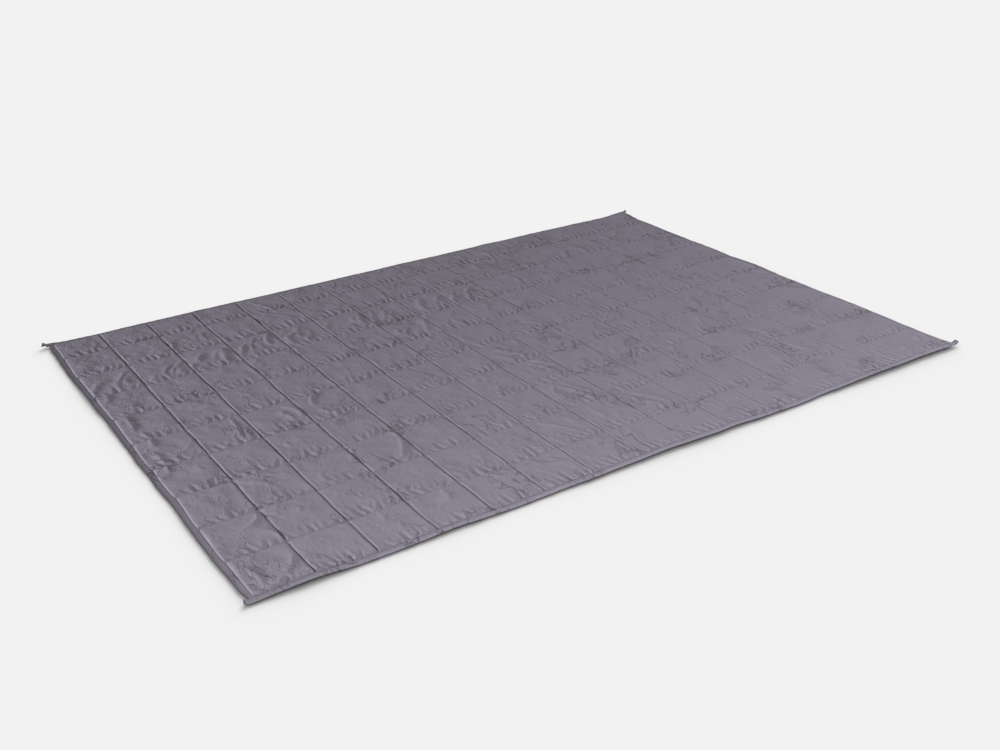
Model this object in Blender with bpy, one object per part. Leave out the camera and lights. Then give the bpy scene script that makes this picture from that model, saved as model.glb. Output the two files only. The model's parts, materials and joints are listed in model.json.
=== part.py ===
"""Camp quilt: two fabric shells over batting, box-quilted, with a bound edge, in three folding panels.

Metres, +Z up. The quilt lies flat: X runs along its long side, Y across it, and the front edge is at -Y.
The origin is the centre of the ground it covers. The left panel is at -X and the right panel at +X.
"""

import math

import bmesh
import bpy
from mathutils import Matrix, Vector

# Overall size, between the outer edges of the binding
LENGTH = 2.000
WIDTH = 1.400

# Quilting grid: columns are counted along X and rows along Y
PANELS = ("left", "middle", "right")
PANEL_COLUMNS = 5
ROWS = 10
END_COLUMN_LESS = 0.005  # an end column is this much narrower than the others
END_ROW_LESS = 0.020  # an end row is this much narrower than the others

# Cushioned cells
LOFT = 0.0125  # floor to the top of a cell
COLUMN_SLOPE_RUN = 0.009  # from a column seam to the flat top of a cell
ROW_SLOPE_RUN = 0.014  # from a row seam to the flat top of a cell

# Layers
SHELL_THICKNESS = 0.0006
PINCHED_BATTING = 0.0005  # batting under a stitch line
SEAM_UNDERSIDE = 0.0020  # floor to the underside of a stitch line
LAYER_GAP = 0.0004  # between one layer and the next

# Binding: a folded band round the edge, and the tails it leaves past the side edges
BINDING_WIDTH = 0.014
BINDING_THICKNESS = 0.0008
BINDING_BULGE_AT = 0.0065  # from the stitch line to the thickest part of the band
BINDING_END_GAP = 0.0003
TUCK_CLEARANCE = 0.003  # from the layers' edge to the inside of the fold
TAIL_LENGTH = 0.012
TAIL_TIP_WIDTH = 0.010
TAIL_TIP_HEIGHT = 0.0048
NOSE_STEPS = 6  # facets round the fold of the band

# Stitching
THREAD_RADIUS = 0.00035
THREAD_GAP = 0.0003  # round each thread, and to the binding at its ends
THREAD_SIDES = 6

# Folding
PANEL_GAP = 0.0003  # between neighbouring panels
FOLDED_GAP = 0.001  # between layers that lie on each other when folded

# Finishes: linear colour and roughness
FINISHES = {
    "shell_fabric": ((0.195, 0.180, 0.218), 0.62),
    "underside_fabric": ((0.170, 0.158, 0.190), 0.66),
    "batting": ((0.80, 0.80, 0.78), 0.95),
    "binding": ((0.215, 0.199, 0.238), 0.58),
    "thread": ((0.140, 0.130, 0.158), 0.70),
}

# Worked out from the sizes above
COLUMNS = PANEL_COLUMNS * len(PANELS)
SEWN_LENGTH = LENGTH - 2 * BINDING_WIDTH
SEWN_WIDTH = WIDTH - 2 * BINDING_WIDTH
COLUMN_PITCH = (SEWN_LENGTH + 2 * END_COLUMN_LESS) / COLUMNS
ROW_PITCH = (SEWN_WIDTH + 2 * END_ROW_LESS) / ROWS
TUCK = BINDING_WIDTH - BINDING_THICKNESS - TUCK_CLEARANCE
SEAM_TOP = SEAM_UNDERSIDE + 2 * SHELL_THICKNESS + PINCHED_BATTING + 2 * LAYER_GAP
LEFT_AXIS_Z = LOFT + FOLDED_GAP / 2
RIGHT_AXIS_Z = (2 * LEFT_AXIS_Z + FOLDED_GAP + LOFT) / 2


def column_seam_x(number):
    """X of the stitch line after that many columns; 0 and COLUMNS are the side edges' stitch lines."""
    if number == 0:
        return -SEWN_LENGTH / 2
    if number == COLUMNS:
        return SEWN_LENGTH / 2
    return (number - COLUMNS / 2) * COLUMN_PITCH


def row_seam_y(number):
    """Y of the stitch line after that many rows; 0 and ROWS are the front and back stitch lines."""
    if number == 0:
        return -SEWN_WIDTH / 2
    if number == ROWS:
        return SEWN_WIDTH / 2
    return (number - ROWS / 2) * ROW_PITCH


LEFT_FOLD_X = column_seam_x(PANEL_COLUMNS)
RIGHT_FOLD_X = column_seam_x(2 * PANEL_COLUMNS)
FOLD_AXES = {
    "left": Vector((LEFT_FOLD_X, 0, LEFT_AXIS_Z)),
    "middle": Vector((0, 0, 0)),
    "right": Vector((RIGHT_FOLD_X, 0, RIGHT_AXIS_Z)),
}


def clear_scene():
    for obj in list(bpy.data.objects):
        bpy.data.objects.remove(obj, do_unlink=True)


def make_finish(name):
    colour, roughness = FINISHES[name]
    material = bpy.data.materials.new(name)
    material.use_nodes = True
    shader = material.node_tree.nodes["Principled BSDF"]
    shader.inputs["Base Color"].default_value = (*colour, 1)
    shader.inputs["Roughness"].default_value = roughness
    shader.inputs["Metallic"].default_value = 0
    return material


def make_panel_origin(panel):
    """The empty that a panel's pieces hang on: on the fold axis, or at the origin for the middle panel."""
    origin = bpy.data.objects.new(panel + "_panel", None)
    origin.location = FOLD_AXES[panel]
    bpy.context.collection.objects.link(origin)
    return origin


def add_piece(name, shape, panel, finish):
    """Turns a bmesh in world coordinates into a named object on its panel's empty."""
    bmesh.ops.translate(shape, vec=-FOLD_AXES[panel], verts=shape.verts)
    mesh = bpy.data.meshes.new(name)
    shape.to_mesh(mesh)
    shape.free()
    piece = bpy.data.objects.new(name, mesh)
    piece.parent = bpy.data.objects[panel + "_panel"]
    bpy.context.collection.objects.link(piece)
    mesh.materials.append(bpy.data.materials[finish])
    return piece


def panel_lines(panel):
    """The X of every grid line of a panel, with its outer tucked edge or its cut edge at a fold."""
    first = PANELS.index(panel) * PANEL_COLUMNS
    lines = [column_seam_x(first + step) for step in range(PANEL_COLUMNS + 1)]
    if first == 0:
        lines.insert(0, lines[0] - TUCK)
    else:
        lines[0] += PANEL_GAP / 2
    if first + PANEL_COLUMNS == COLUMNS:
        lines.append(lines[-1] + TUCK)
    else:
        lines[-1] -= PANEL_GAP / 2
    return lines


def row_lines():
    """The Y of every grid line, with the tucked edges at the front and the back."""
    lines = [row_seam_y(number) for number in range(ROWS + 1)]
    return [lines[0] - TUCK, *lines, lines[-1] + TUCK]


def is_tuck(low, high):
    return math.isclose(high - low, TUCK, rel_tol=1e-6)


def add_quilted_surface(shape, panel, seam_z, cell_z, faces_up):
    """One side of a layer: a grid at seam height whose cells rise, or drop, to flat tops at cell height."""
    xs = panel_lines(panel)
    ys = row_lines()
    grid = [[shape.verts.new((x, y, seam_z)) for y in ys] for x in xs]

    def add_face(corners):
        shape.faces.new(corners if faces_up else corners[::-1])

    for i, (x0, x1) in enumerate(zip(xs, xs[1:])):
        for j, (y0, y1) in enumerate(zip(ys, ys[1:])):
            outer = [grid[i][j], grid[i + 1][j], grid[i + 1][j + 1], grid[i][j + 1]]
            if is_tuck(x0, x1) or is_tuck(y0, y1):
                add_face(outer)
                continue
            left, right = x0 + COLUMN_SLOPE_RUN, x1 - COLUMN_SLOPE_RUN
            front, back = y0 + ROW_SLOPE_RUN, y1 - ROW_SLOPE_RUN
            flat = [(left, front), (right, front), (right, back), (left, back)]
            inner = [shape.verts.new((x, y, cell_z)) for x, y in flat]
            add_face(inner)
            for k in range(4):
                add_face([outer[k], outer[(k + 1) % 4], inner[(k + 1) % 4], inner[k]])
    return grid


def border(grid):
    """The grid's outer vertices, counterclockwise seen from above, starting at the front left."""
    last_x, last_y = len(grid) - 1, len(grid[0]) - 1
    front = [grid[i][0] for i in range(last_x)]
    right = [grid[last_x][j] for j in range(last_y)]
    back = [grid[i][last_y] for i in range(last_x, 0, -1)]
    left = [grid[0][j] for j in range(last_y, 0, -1)]
    return front + right + back + left


def make_layer(name, panel, seam_z, cell_z, finish):
    """A closed layer; seam_z and cell_z are its (lower, upper) heights at the seams and on the cells."""
    shape = bmesh.new()
    lower = border(add_quilted_surface(shape, panel, seam_z[0], cell_z[0], faces_up=False))
    upper = border(add_quilted_surface(shape, panel, seam_z[1], cell_z[1], faces_up=True))
    count = len(lower)
    for k in range(count):
        after = (k + 1) % count
        shape.faces.new([lower[k], lower[after], upper[after], upper[k]])
    return add_piece(name, shape, panel, finish)


def make_layers(panel):
    """The bottom shell, the batting and the top shell of one panel, from the floor up."""
    seam, cell = SEAM_UNDERSIDE, 0.0
    make_layer(
        panel + "_bottom_shell",
        panel,
        (seam, seam + SHELL_THICKNESS),
        (cell, cell + SHELL_THICKNESS),
        "underside_fabric",
    )
    seam += SHELL_THICKNESS + LAYER_GAP
    cell += SHELL_THICKNESS + LAYER_GAP
    make_layer(
        panel + "_batting",
        panel,
        (seam, seam + PINCHED_BATTING),
        (cell, LOFT - SHELL_THICKNESS - LAYER_GAP),
        "batting",
    )
    make_layer(
        panel + "_top_shell",
        panel,
        (SEAM_TOP - SHELL_THICKNESS, SEAM_TOP),
        (LOFT - SHELL_THICKNESS, LOFT),
        "shell_fabric",
    )


def binding_profile(width, height):
    """The folded band's closed outline as (outward, up) points, from its stitch line to its fold.

    The lips grip the three layers from below and above, and the fold bulges between them.
    """
    middle = (SEAM_UNDERSIDE + SEAM_TOP) / 2
    lip_below = SEAM_UNDERSIDE - LAYER_GAP
    lip_above = SEAM_TOP + LAYER_GAP

    def fold(inset):
        half_width = width - BINDING_BULGE_AT - inset
        half_height = height / 2 - inset
        angles = [math.pi * (step / NOSE_STEPS - 0.5) for step in range(NOSE_STEPS + 1)]
        return [
            (BINDING_BULGE_AT + half_width * math.cos(a), middle + half_height * math.sin(a))
            for a in angles
        ]

    outside = [(0, lip_below - BINDING_THICKNESS), *fold(0), (0, lip_above + BINDING_THICKNESS)]
    inside = [(0, lip_below), *fold(BINDING_THICKNESS), (0, lip_above)]
    return outside + inside[::-1]


def add_band(shape, rings):
    """Skins a closed band through rings of points and caps both ends."""
    loops = [[shape.verts.new(point) for point in ring] for ring in rings]
    count = len(loops[0])
    for here, there in zip(loops, loops[1:]):
        for k in range(count):
            after = (k + 1) % count
            shape.faces.new([here[k], here[after], there[after], there[k]])
    shape.faces.new(loops[0][::-1])
    shape.faces.new(loops[-1])
    bmesh.ops.recalc_face_normals(shape, faces=shape.faces)


FULL_HEIGHT = SEAM_UNDERSIDE + SEAM_TOP  # the band's fold rests on the floor


def long_edge_ring(x, side, width, height):
    """The band's outline across the front (side -1) or back (side 1) edge at x."""
    stitch_line = side * SEWN_WIDTH / 2
    return [(x, stitch_line + side * out, up) for out, up in binding_profile(width, height)]


def make_long_edge_binding(name, panel, side):
    """The band along one panel's front or back edge, with a tail past a side edge on an outer panel."""
    first = PANELS.index(panel) * PANEL_COLUMNS
    start, end = column_seam_x(first), column_seam_x(first + PANEL_COLUMNS)
    full = (BINDING_WIDTH, FULL_HEIGHT)
    tip = (TAIL_TIP_WIDTH, TAIL_TIP_HEIGHT)
    if panel == "left":
        stations = [(-LENGTH / 2 - TAIL_LENGTH, tip), (-LENGTH / 2, full), (end - PANEL_GAP / 2, full)]
    elif panel == "right":
        stations = [(start + PANEL_GAP / 2, full), (LENGTH / 2, full), (LENGTH / 2 + TAIL_LENGTH, tip)]
    else:
        stations = [(start + PANEL_GAP / 2, full), (end - PANEL_GAP / 2, full)]
    shape = bmesh.new()
    add_band(shape, [long_edge_ring(x, side, *size) for x, size in stations])
    return add_piece(name, shape, panel, "binding")


def make_side_binding(name, panel, side):
    """The band along the left (side -1) or right (side 1) edge, between the front and back bands."""
    stitch_line = side * SEWN_LENGTH / 2
    reach = SEWN_WIDTH / 2 - BINDING_END_GAP
    profile = binding_profile(BINDING_WIDTH, FULL_HEIGHT)
    shape = bmesh.new()
    add_band(shape, [[(stitch_line + side * out, y, up) for out, up in profile] for y in (-reach, reach)])
    return add_piece(name, shape, panel, "binding")


def make_bindings():
    for panel in PANELS:
        make_long_edge_binding(panel + "_front_binding", panel, -1)
        make_long_edge_binding(panel + "_back_binding", panel, 1)
    make_side_binding("left_side_binding", "left", -1)
    make_side_binding("right_side_binding", "right", 1)


def make_thread(name, panel, start, end):
    """A straight run of stitching thread from start to end."""
    run = Vector(end) - Vector(start)
    placed = Matrix.Translation(Vector(start) + run / 2) @ run.to_track_quat("Z", "Y").to_matrix().to_4x4()
    shape = bmesh.new()
    bmesh.ops.create_cone(
        shape,
        segments=THREAD_SIDES,
        radius1=THREAD_RADIUS,
        radius2=THREAD_RADIUS,
        depth=run.length,
        cap_ends=True,
        matrix=placed,
    )
    return add_piece(name, shape, panel, "thread")


def column_thread_z():
    """Height of a thread that lies in the V of a column seam, clear of both slopes."""
    slope = math.atan2(LOFT - SEAM_TOP, COLUMN_SLOPE_RUN)
    return SEAM_TOP + (THREAD_RADIUS + THREAD_GAP) / math.cos(slope)


def row_thread_z():
    """Height of a thread that crosses over the column threads."""
    return column_thread_z() + 2 * THREAD_RADIUS + THREAD_GAP


def panel_of_column_seam(number):
    """A seam on a fold belongs to the middle panel."""
    if number < PANEL_COLUMNS:
        return "left"
    return "middle" if number <= 2 * PANEL_COLUMNS else "right"


def make_column_stitching():
    reach = SEWN_WIDTH / 2 - THREAD_GAP
    z = column_thread_z()
    for number in range(1, COLUMNS):
        x = column_seam_x(number)
        make_thread(
            f"column_stitching_{number:02d}",
            panel_of_column_seam(number),
            (x, -reach, z),
            (x, reach, z),
        )


def make_row_stitching():
    inset = THREAD_RADIUS + THREAD_GAP
    z = row_thread_z()
    for panel in PANELS:
        first = PANELS.index(panel) * PANEL_COLUMNS
        start = column_seam_x(first) + inset
        end = column_seam_x(first + PANEL_COLUMNS) - inset
        for number in range(1, ROWS):
            y = row_seam_y(number)
            make_thread(f"{panel}_row_stitching_{number:02d}", panel, (start, y, z), (end, y, z))


def make_quilt():
    clear_scene()
    for finish in FINISHES:
        make_finish(finish)
    for panel in PANELS:
        make_panel_origin(panel)
    for panel in PANELS:
        make_layers(panel)
    make_bindings()
    make_column_stitching()
    make_row_stitching()


make_quilt()
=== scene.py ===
"""Looks of the box-quilted camp quilt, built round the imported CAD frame.

The quilt lies flat. Its cells are a grid of columns along X and rows along Y, and every size comes from
the CAD nodes. The upper fabric is relaxed as cloth that is sewn down along the stitch lines, with more
fabric than the lines have length, so that it puffs and puckers as real quilting does. Every other layer
follows it. All pieces are built flat and then laid: one displacement gives the quilt's lie on the floor.
"""

import json
import math

import bpy
import numpy as np
from mathutils import Matrix, Vector

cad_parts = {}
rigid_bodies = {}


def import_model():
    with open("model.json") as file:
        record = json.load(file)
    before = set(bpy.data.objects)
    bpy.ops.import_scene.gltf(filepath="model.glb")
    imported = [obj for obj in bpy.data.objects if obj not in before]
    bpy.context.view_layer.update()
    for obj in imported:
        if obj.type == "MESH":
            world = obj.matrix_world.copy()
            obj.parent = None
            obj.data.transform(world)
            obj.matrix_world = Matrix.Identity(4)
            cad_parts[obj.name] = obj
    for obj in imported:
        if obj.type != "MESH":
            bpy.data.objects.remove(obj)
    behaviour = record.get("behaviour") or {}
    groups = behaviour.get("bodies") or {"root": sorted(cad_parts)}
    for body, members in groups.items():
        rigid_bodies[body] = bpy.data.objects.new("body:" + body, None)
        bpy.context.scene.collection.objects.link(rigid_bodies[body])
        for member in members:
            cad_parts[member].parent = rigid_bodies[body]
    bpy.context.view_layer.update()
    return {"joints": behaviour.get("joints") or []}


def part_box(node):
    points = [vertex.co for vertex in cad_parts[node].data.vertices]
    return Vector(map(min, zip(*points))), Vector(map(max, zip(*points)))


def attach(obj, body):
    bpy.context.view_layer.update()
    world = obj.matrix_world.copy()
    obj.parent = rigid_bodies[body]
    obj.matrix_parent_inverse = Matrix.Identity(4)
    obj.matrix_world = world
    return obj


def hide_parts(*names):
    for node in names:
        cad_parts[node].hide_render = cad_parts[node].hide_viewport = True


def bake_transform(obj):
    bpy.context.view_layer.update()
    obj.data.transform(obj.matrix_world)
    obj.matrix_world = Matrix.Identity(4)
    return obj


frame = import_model()

# ---------------------------------------------------------------------------------------------
# Sizes read from the CAD nodes

COLUMN_SEAMS = 14
ROW_SEAMS = 9
SPLIT_SEAM = 7  # the upper and lower fabrics are each two pieces, which meet at this column seam


def middle_of(node, axis):
    low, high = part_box(node)
    return (low[axis] + high[axis]) / 2


SEAM_X = np.array(
    [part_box("left_side_binding")[1].x]
    + [middle_of(f"column_stitching_{number:02d}", 0) for number in range(1, COLUMN_SEAMS + 1)]
    + [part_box("right_side_binding")[0].x]
)
SEAM_Y = np.array(
    [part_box("left_front_binding")[1].y]
    + [middle_of(f"middle_row_stitching_{number:02d}", 1) for number in range(1, ROW_SEAMS + 1)]
    + [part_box("left_back_binding")[0].y]
)
COLUMNS = len(SEAM_X) - 1
ROWS = len(SEAM_Y) - 1
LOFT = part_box("middle_top_shell")[1].z
FABRIC = 0.0006  # thickness of a shell
SEAM_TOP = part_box("middle_top_shell")[0].z + FABRIC  # upper side of the pinched layers
SEAM_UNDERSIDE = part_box("middle_bottom_shell")[1].z - FABRIC
BINDING_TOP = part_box("left_side_binding")[1].z
BINDING_WIDTH = SEAM_X[0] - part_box("left_side_binding")[0].x
SIDE_X = -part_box("left_side_binding")[0].x
FOLDS = {joint["name"]: Vector(joint["pos_m"]) for joint in frame["joints"]}
SPLIT_X = SEAM_X[SPLIT_SEAM]

# ---------------------------------------------------------------------------------------------
# Small numeric helpers


def smoothstep(t):
    t = np.clip(t, 0, 1)
    return t * t * (3 - 2 * t)


NOISE_TABLE = (61, 67)  # the noise repeats after so many hills
NOISE_START = 500  # keeps the table's indices positive


def lattice_noise(x, y, spacing, seed):
    """Smooth noise from -1 to 1, whose hills are about spacing apart."""
    table = np.random.default_rng(seed).uniform(-1, 1, NOISE_TABLE)
    gx = np.asarray(x) / spacing + NOISE_START
    gy = np.asarray(y) / spacing + NOISE_START
    ix, iy = np.floor(gx).astype(int), np.floor(gy).astype(int)
    fx, fy = smoothstep(gx - ix), smoothstep(gy - iy)

    def value(i, j):
        return table[i % NOISE_TABLE[0], j % NOISE_TABLE[1]]

    near = value(ix, iy) * (1 - fx) + value(ix + 1, iy) * fx
    far = value(ix, iy + 1) * (1 - fx) + value(ix + 1, iy + 1) * fx
    return near * (1 - fy) + far * fy


def bump_at(x, y, centre, reach):
    """1 at centre, falling smoothly to 0 at reach = (along X, along Y)."""
    away = np.hypot((x - centre[0]) / reach[0], (y - centre[1]) / reach[1])
    return 1 - smoothstep(away)


# ---------------------------------------------------------------------------------------------
# How the quilt lies on the floor

HALF_WIDTH = -SEAM_Y[0] + BINDING_WIDTH
LIFTS = [  # (x, y), (reach along X, reach along Y), height: places where an edge stands off the floor
    ((-0.88, -HALF_WIDTH), (0.13, 0.05), 0.0052),
    ((-0.55, -HALF_WIDTH), (0.16, 0.05), 0.0020),
    ((0.05, -HALF_WIDTH), (0.45, 0.05), 0.0048),
    ((0.74, -HALF_WIDTH), (0.38, 0.07), 0.0062),
    ((1.00, -HALF_WIDTH), (0.20, 0.07), 0.0030),
    ((SIDE_X, 0.02), (0.06, 0.12), 0.0045),
    ((SIDE_X, -0.33), (0.05, 0.12), 0.0020),
    ((SIDE_X, HALF_WIDTH), (0.10, 0.10), 0.0050),
    ((-SIDE_X, 0.30), (0.05, 0.16), 0.0020),
    ((-SIDE_X, HALF_WIDTH), (0.05, 0.05), 0.0030),
]
EDGE_ZONE = 0.09  # the edges wander and ripple more than the rest, over this width
EDGE_RIPPLE = 0.0016
EDGE_WANDER = 0.0022
SEAM_WANDER = 0.0017
ROWS_BACK = 0.0055  # the row seams lie this far back, and the long edges a little to the front
EDGE_FORWARD = 0.0065
FRONT_BULGE = 0.0050  # the right part of the front edge lies further out


def edge_share(x, y):
    """1 at the quilt's edges, falling to 0 inside them."""
    inside = np.minimum(SIDE_X - np.abs(x), HALF_WIDTH - np.abs(y))
    return 1 - smoothstep(inside / EDGE_ZONE)


def row_shift(x, y):
    """Movement along Y of the row seams and the long edges, against an evenly spaced grid."""
    at_edge = smoothstep((np.abs(y) - 0.8 * HALF_WIDTH) / (0.2 * HALF_WIDTH))
    shift = ROWS_BACK * (1 - at_edge) - EDGE_FORWARD * at_edge
    front = smoothstep(-y / HALF_WIDTH) ** 2 * smoothstep((x + 0.4) / 0.9)
    return shift - FRONT_BULGE * front


def lift(x, y):
    height = np.zeros(np.shape(x))
    for centre, reach, top in LIFTS:
        height = height + top * bump_at(x, y, centre, reach)
    ripple = 0.5 + 0.5 * lattice_noise(x, y, 0.11, 31)
    return height + EDGE_RIPPLE * ripple * edge_share(x, y)


def lay(points):
    """Moves flat points (…, 3) to where the cloth lies: wandering seams, wavy edges and lifted places."""
    x, y, z = points[..., 0], points[..., 1], points[..., 2]
    edge = edge_share(x, y)
    dx = SEAM_WANDER * lattice_noise(x, y, 0.075, 11) + EDGE_WANDER * edge * lattice_noise(x, y, 0.16, 13)
    dy = SEAM_WANDER * lattice_noise(x, y, 0.070, 12) + EDGE_WANDER * edge * lattice_noise(x, y, 0.19, 14)
    return np.stack([x + dx, y + dy + row_shift(x, y), z + lift(x, y)], -1)


# ---------------------------------------------------------------------------------------------
# The grid of the upper fabric: fine lines beside each stitch line, even ones between them

BESIDE_SEAM = np.array([0.0014, 0.0032, 0.0056, 0.0088, 0.0125])
STEP_X = 0.0042
STEP_Y = 0.0050


def grid_lines(seams, step):
    lines = []
    for start, end in zip(seams, seams[1:]):
        inner_start, inner_end = start + BESIDE_SEAM[-1], end - BESIDE_SEAM[-1]
        count = round((inner_end - inner_start) / step)
        between = np.linspace(inner_start, inner_end, count + 1)[1:-1]
        lines += [[start], start + BESIDE_SEAM, between, end - BESIDE_SEAM[::-1]]
    return np.concatenate([*lines, [seams[-1]]])


LINE_X = grid_lines(SEAM_X, STEP_X)
LINE_Y = grid_lines(SEAM_Y, STEP_Y)
CELL_I = np.clip(np.searchsorted(SEAM_X, LINE_X, side="right") - 1, 0, COLUMNS - 1)
CELL_J = np.clip(np.searchsorted(SEAM_Y, LINE_Y, side="right") - 1, 0, ROWS - 1)
SEWN = np.isin(LINE_X, SEAM_X)[:, None] | np.isin(LINE_Y, SEAM_Y)[None, :]
GRID_X, GRID_Y = np.meshgrid(LINE_X, LINE_Y, indexing="ij")
FROM_SEAM = np.minimum(  # distance of every grid point from its nearest stitch line
    np.abs(LINE_X[:, None] - SEAM_X).min(-1)[:, None],
    np.abs(LINE_Y[:, None] - SEAM_Y).min(-1)[None, :],
)

# ---------------------------------------------------------------------------------------------
# The upper fabric as cloth

EXTRA_X = 0.030  # fabric along the quilt, over the length of the stitch lines
EXTRA_X_AT_SEAM = 0.075  # more of it, gathered just behind each row seam
GATHER_REACH = 0.45  # how far these gathers reach, as a share of the cell
EXTRA_Y = 0.017
EXTRA_SPREAD = (0.007, 0.004)  # how much the extra fabric differs from cell to cell, along X and Y
PUFF_LEFT = 0.0044  # height of a cell over its seams, at the left end of the quilt
PUFF_RIGHT = 0.0025  # and over its right half
PUFF = (PUFF_LEFT - (PUFF_LEFT - PUFF_RIGHT) * smoothstep((LINE_X + SIDE_X) / (1.15 * SIDE_X)))[:, None]
STEPS = 320
FILL_PUSH = 1.0e-5  # speed gained at each step, in metres per step
STRETCH_GIVE = 0.32  # share of a thread's error that each of its two ends takes up at a step
SHEAR_GIVE = 0.06
BEND_GIVE = 0.07
DRAG = 0.96  # share of the speed that is kept from step to step
SEAM_HOLD = 0.35  # share of its height that a sewn point keeps at each step


def pull_together(first, second, rest, give, only_apart=False):
    """Moves two sets of linked points towards their rest distance."""
    away = second - first
    length = np.sqrt(np.einsum("ijk,ijk->ij", away, away)) + 1e-9
    share = (length - rest) / length * give
    if only_apart:
        share = np.minimum(share, 0)
    away *= share[..., None]
    first += away
    second -= away


def first_guess():
    """The flat fabric with a slight puff in each cell and ripples for the puckers to start from."""
    start_x, end_x = SEAM_X[CELL_I], SEAM_X[CELL_I + 1]
    start_y, end_y = SEAM_Y[CELL_J], SEAM_Y[CELL_J + 1]
    across = ((LINE_X - start_x) / (end_x - start_x))[:, None]
    along = ((LINE_Y - start_y) / (end_y - start_y))[None, :]
    dome = np.sqrt(np.clip(np.sin(np.pi * across) * np.sin(np.pi * along), 0, 1))
    ripples = 0.0005 * lattice_noise(GRID_X, GRID_Y, 0.009, 21)
    ripples = ripples + 0.0006 * lattice_noise(GRID_X + 0.4 * GRID_Y, GRID_Y * 0.35, 0.012, 22)
    height = 0.5 * PUFF * dome + ripples
    height[SEWN] = 0
    return np.stack([GRID_X, GRID_Y, height], -1).astype(np.float32)


def cut_lengths():
    """Rest lengths of the grid's edges: the flat lengths with each cell's extra fabric."""
    draw = np.random.default_rng(5)
    extra_x = draw.normal(EXTRA_X, EXTRA_SPREAD[0], (COLUMNS, ROWS))[CELL_I][:, CELL_J]
    extra_y = draw.normal(EXTRA_Y, EXTRA_SPREAD[1], (COLUMNS, ROWS))[CELL_I][:, CELL_J]
    behind_seam = (LINE_Y - SEAM_Y[CELL_J]) / (SEAM_Y[CELL_J + 1] - SEAM_Y[CELL_J])
    extra_x = extra_x + EXTRA_X_AT_SEAM * (1 - smoothstep(behind_seam / GATHER_REACH))[None, :]
    extra_x = extra_x + 0.012 * lattice_noise(GRID_X, GRID_Y, 0.045, 23)
    extra_y = extra_y + 0.005 * lattice_noise(GRID_X, GRID_Y, 0.050, 24)
    along_x = np.diff(LINE_X)[:, None] * (1 + (extra_x[1:] + extra_x[:-1]) / 2)
    along_y = np.diff(LINE_Y)[None, :] * (1 + (extra_y[:, 1:] + extra_y[:, :-1]) / 2)
    across = np.hypot((along_x[:, 1:] + along_x[:, :-1]) / 2, (along_y[1:] + along_y[:-1]) / 2)
    return [lengths.astype(np.float32) for lengths in (along_x, along_y, across)]


def surface_normals(points):
    along_x, along_y = np.gradient(points, axis=0), np.gradient(points, axis=1)
    normals = np.cross(along_x, along_y)
    return normals / (np.linalg.norm(normals, axis=-1, keepdims=True) + 1e-12)


def relax_cloth():
    """Heights and places of the upper fabric over its seams, once the fill has pushed it up."""
    points = first_guess()
    home = points[..., :2].copy()
    along_x, along_y, across = cut_lengths()
    double_x, double_y = along_x[1:] + along_x[:-1], along_y[:, 1:] + along_y[:, :-1]
    speed = np.zeros_like(points)
    height = points[..., 2]
    top = PUFF.astype(np.float32)
    for step in range(STEPS):
        if step % 3 == 0:
            normals = surface_normals(points)
        fill = FILL_PUSH * np.clip(1 - (height / top) ** 6, -3, 1)
        speed += normals * fill[..., None]
        speed *= DRAG
        before = points.copy()
        points += speed
        pull_together(points[:-1], points[1:], along_x, STRETCH_GIVE)
        pull_together(points[:, :-1], points[:, 1:], along_y, STRETCH_GIVE)
        pull_together(points[:-1, :-1], points[1:, 1:], across, SHEAR_GIVE)
        pull_together(points[1:, :-1], points[:-1, 1:], across, SHEAR_GIVE)
        pull_together(points[:-2], points[2:], double_x, BEND_GIVE, only_apart=True)
        pull_together(points[:, :-2], points[:, 2:], double_y, BEND_GIVE, only_apart=True)
        points[..., :2][SEWN] = home[SEWN]
        height[SEWN] *= SEAM_HOLD
        height[[0, -1]] = 0
        height[:, [0, -1]] = 0
        np.maximum(height, 0, out=height)
        speed = points - before
    return points.astype(float)


# ---------------------------------------------------------------------------------------------
# Creases that handling has left: ridges a few millimetres wide, each along a curved line

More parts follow.
